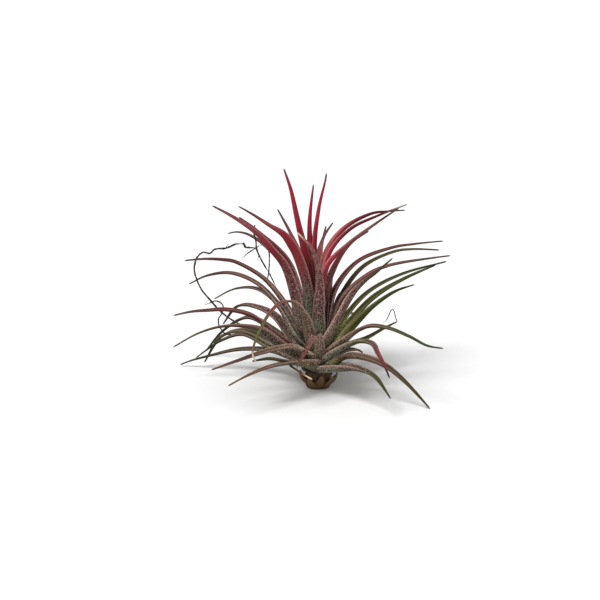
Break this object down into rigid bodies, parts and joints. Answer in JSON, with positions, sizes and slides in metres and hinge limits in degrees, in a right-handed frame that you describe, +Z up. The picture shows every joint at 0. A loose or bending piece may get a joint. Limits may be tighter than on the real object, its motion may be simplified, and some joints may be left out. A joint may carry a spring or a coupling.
{
  "type": "air plant",
  "caption": "Rosette of narrow arching channelled leaves on a short woody stem, with thin wiry roots, that rests on its stem foot.",
  "frame": {"origin": "middle of the stem's flat foot, on the surface that the plant rests on", "axes": "+Z up, -Y towards the plant's front, +X to its right as seen from the front"},
  "size_m": [0.0829, 0.0721, 0.0682],
  "materials": {
    "heart_leaf": "matte crimson leaf with fine pale scales",
    "upper_leaf": "matte crimson to maroon leaf with a grey scaly base",
    "middle_leaf": "matte maroon to olive leaf with a grey scaly base",
    "lower_leaf": "matte green to mauve leaf with a grey scaly base",
    "basal_leaf": "matte green to tan leaf, dry at the tip",
    "stem_bark": "dry brown bark",
    "root": "dry dark wiry root"
  },
  "bodies": {
    "root": {"heart_leaves": "heart_leaf", "upper_leaves": "upper_leaf", "middle_leaves": "middle_leaf", "lower_leaves": "lower_leaf", "basal_leaves": "basal_leaf", "stem": "stem_bark", "root_loop": "root", "root_curl": "root"}
  },
  "joints": []
}
